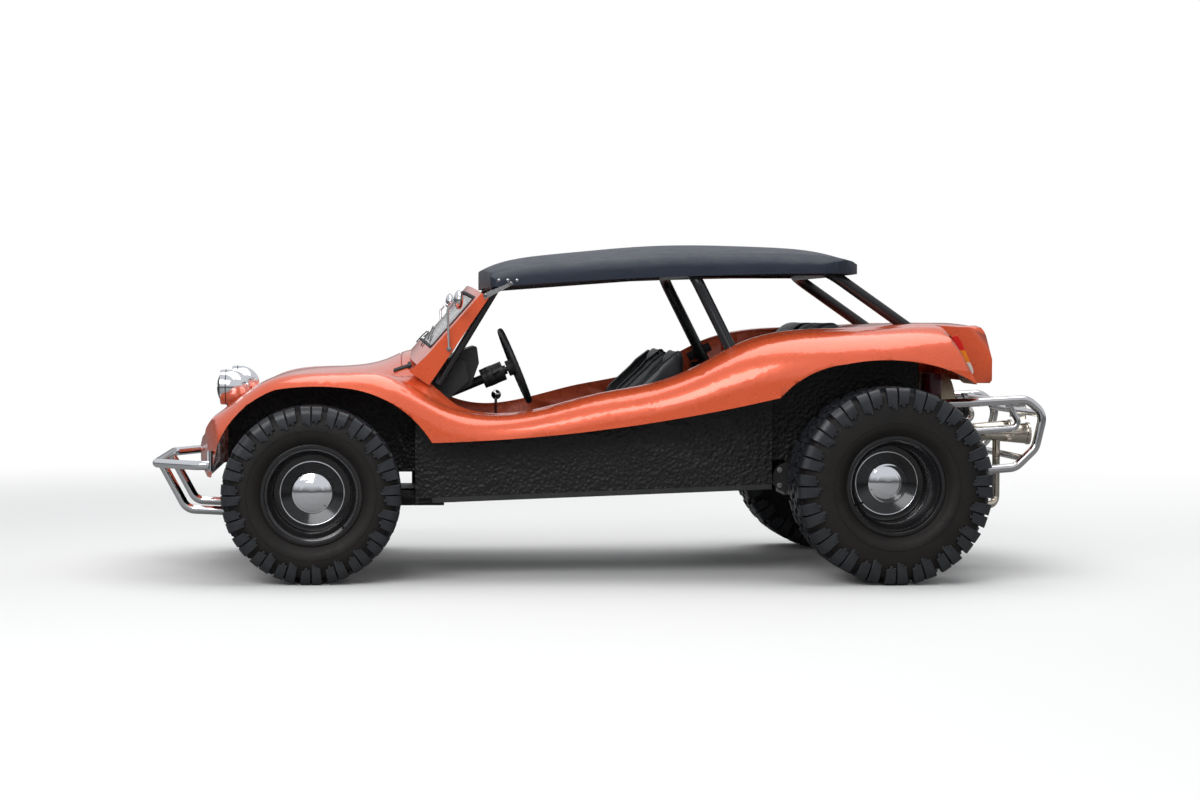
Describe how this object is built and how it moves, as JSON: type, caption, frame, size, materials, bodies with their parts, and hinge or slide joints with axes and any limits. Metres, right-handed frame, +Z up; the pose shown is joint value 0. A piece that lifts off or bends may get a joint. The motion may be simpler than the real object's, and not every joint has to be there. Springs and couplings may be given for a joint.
{
  "type": "dune buggy",
  "caption": "Open two-door dune buggy with a moulded shell, hard roof on a tube cage, wide lugged tyres, steerable front wheels and a hinged bonnet.",
  "frame": {"origin": "centre of the overall length and width, on the ground under the tyres", "axes": "+X to the rear of the car, +Y to its right side, +Z up"},
  "size_m": [3.85, 1.87, 1.4235],
  "materials": {
    "body_paint": "metallic gloss paint on glass fibre",
    "tub_liner": "textured liner",
    "floor_black": "satin black paint",
    "glass": "clear laminated",
    "lens": "fluted lens",
    "roof_vinyl": "grained black",
    "tube_black": "gloss black",
    "dash_black": "grained",
    "grip_black": "padded",
    "steel": "satin",
    "lever_chrome": "bright",
    "seat_vinyl": "grained black vinyl",
    "chrome": "bright",
    "lamp_red": "red lens",
    "bumper_steel": "polished tube",
    "running_gear": "satin black",
    "damper": "satin",
    "alloy": "cast",
    "shroud_black": "gloss black",
    "exhaust_steel": "polished, heat tinted",
    "rubber_black": "moulded",
    "tyre": "matt",
    "wheel_black": "gloss black"
  },
  "bodies": {
    "chassis": {"body_shell": "body_paint", "controls": "lever_chrome", "dampers": "damper", "dashboard": "dash_black", "engine": "alloy", "exhaust": "exhaust_steel", "fan_shroud": "shroud_black", "filters": "chrome", "floor_pan": "floor_black", "front_beam": "running_gear", "front_bumper": "bumper_steel", "fuel_tank": "floor_black", "headlamp_lenses": "lens", "headlamps": "chrome", "mirrors": "chrome", "rear_bench": "seat_vinyl", "rear_bumper": "bumper_steel", "rear_suspension": "running_gear", "roll_cage": "tube_black", "roof": "roof_vinyl", "roof_brackets": "steel", "screen_frame": "body_paint", "screen_glass": "glass", "seats": "seat_vinyl", "steering_column": "steel", "tail_lamps": "lamp_red", "transaxle": "alloy", "tub": "tub_liner"},
    "bonnet": {"bonnet": "body_paint", "bonnet_latches": "rubber_black"},
    "steering_wheel": {"steering_wheel": "grip_black"},
    "track_rod": {"track_rod": "steel"},
    "knuckle_left": {"knuckle_left": "running_gear"},
    "knuckle_right": {"knuckle_right": "running_gear"},
    "wheel_front_left": {"tyre_front_left": "tyre", "wheel_front_left": "wheel_black", "cap_front_left": "chrome"},
    "wheel_front_right": {"tyre_front_right": "tyre", "wheel_front_right": "wheel_black", "cap_front_right": "chrome"},
    "wheel_rear_left": {"tyre_rear_left": "tyre", "wheel_rear_left": "wheel_black", "cap_rear_left": "chrome"},
    "wheel_rear_right": {"tyre_rear_right": "tyre", "wheel_rear_right": "wheel_black", "cap_rear_right": "chrome"}
  },
  "joints": [
    {"name": "steering", "type": "hinge", "parent": "chassis", "child": "steering_wheel", "pos_m": [-0.394, -0.315, 0.89], "axis": [0.9232, 0, 0.3843], "range_deg": [-336, 336]},
    {"name": "kingpin_left", "type": "hinge", "parent": "chassis", "child": "knuckle_left", "pos_m": [-1.249, -0.585, 0.368], "axis": [0, 0, 1], "range_deg": [-24, 24]},
    {"name": "kingpin_right", "type": "hinge", "parent": "chassis", "child": "knuckle_right", "pos_m": [-1.249, 0.585, 0.368], "axis": [0, 0, 1], "range_deg": [-24, 24]},
    {"name": "track_rod_slide", "type": "slide", "parent": "chassis", "child": "track_rod", "axis": [0, 1, 0], "range_m": [-0.04, 0.04]},
    {"name": "spin_front_left", "type": "hinge", "parent": "knuckle_left", "child": "wheel_front_left", "pos_m": [-1.249, -0.694, 0.368], "axis": [0, 1, 0], "continuous": true},
    {"name": "spin_front_right", "type": "hinge", "parent": "knuckle_right", "child": "wheel_front_right", "pos_m": [-1.249, 0.694, 0.368], "axis": [0, 1, 0], "continuous": true},
    {"name": "spin_rear_left", "type": "hinge", "parent": "chassis", "child": "wheel_rear_left", "pos_m": [1.151, -0.776, 0.41], "axis": [0, 1, 0], "continuous": true},
    {"name": "spin_rear_right", "type": "hinge", "parent": "chassis", "child": "wheel_rear_right", "pos_m": [1.151, 0.776, 0.41], "axis": [0, 1, 0], "continuous": true},
    {"name": "bonnet_hinge", "type": "hinge", "parent": "chassis", "child": "bonnet", "pos_m": [-1.548, 0, 0.781], "axis": [0, -1, 0], "range_deg": [0, 60]}
  ],
  "couplings": [
    {"joint": "kingpin_left", "follows": "steering", "ratio": 0.071429},
    {"joint": "kingpin_right", "follows": "steering", "ratio": 0.071429},
    {"joint": "track_rod_slide", "follows": "steering", "m_per_rad": -0.006786}
  ]
}
